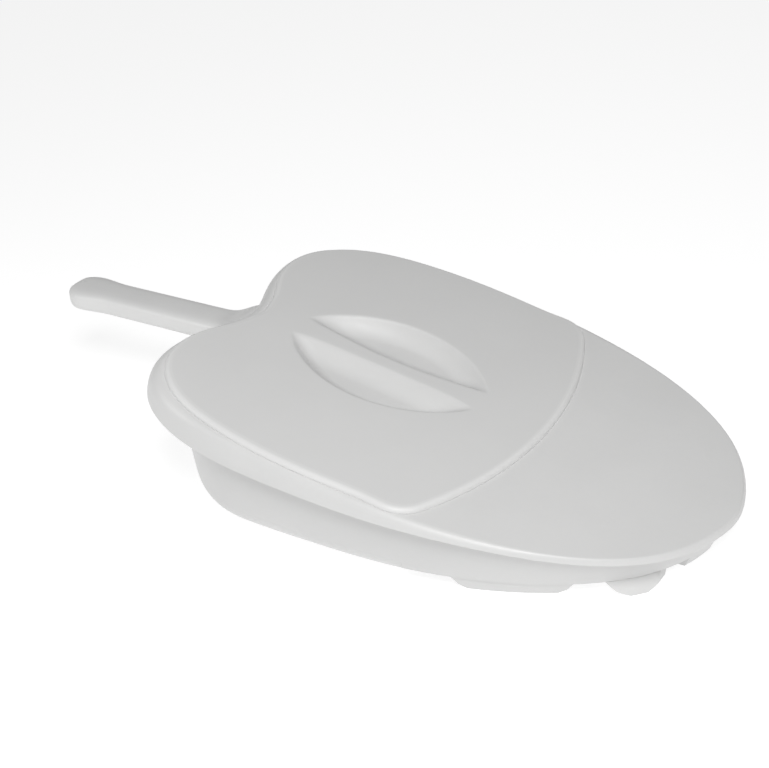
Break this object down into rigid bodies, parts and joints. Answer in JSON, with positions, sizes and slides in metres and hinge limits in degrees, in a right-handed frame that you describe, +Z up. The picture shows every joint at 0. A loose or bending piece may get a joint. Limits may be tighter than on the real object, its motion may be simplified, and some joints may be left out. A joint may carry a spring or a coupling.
{
  "type": "bedpan",
  "caption": "Wedge-shaped ward bedpan with a deep receptacle, sloping apron, long rear handle and a lift-off lid with a recessed finger grip.",
  "frame": {"origin": "centre of the object's footprint, on the surface that it stands on", "axes": "+X from the handle to the nose, +Y to the left seen from the handle, +Z up"},
  "size_m": [0.524, 0.2666, 0.0908],
  "materials": {
    "pan_plastic": "semi-gloss moulded polypropylene",
    "lid_plastic": "satin moulded polypropylene"
  },
  "bodies": {
    "pan": {"seat_rim": "pan_plastic", "apron": "pan_plastic", "receptacle": "pan_plastic", "skirt": "pan_plastic", "handle": "pan_plastic", "foot_rear_right": "pan_plastic", "foot_rear_left": "pan_plastic", "foot_middle_right": "pan_plastic", "foot_middle_left": "pan_plastic", "foot_nose_right": "pan_plastic", "foot_nose_left": "pan_plastic"},
    "lid": {"lid_plate": "lid_plastic", "grip_bar": "lid_plastic", "finger_pocket_left": "lid_plastic", "finger_pocket_right": "lid_plastic", "lid_locating_lip": "lid_plastic"}
  },
  "joints": [
    {"name": "lid_lift", "type": "slide", "parent": "pan", "child": "lid", "axis": [0, 0, 1], "range_m": [0, 0.12]}
  ]
}
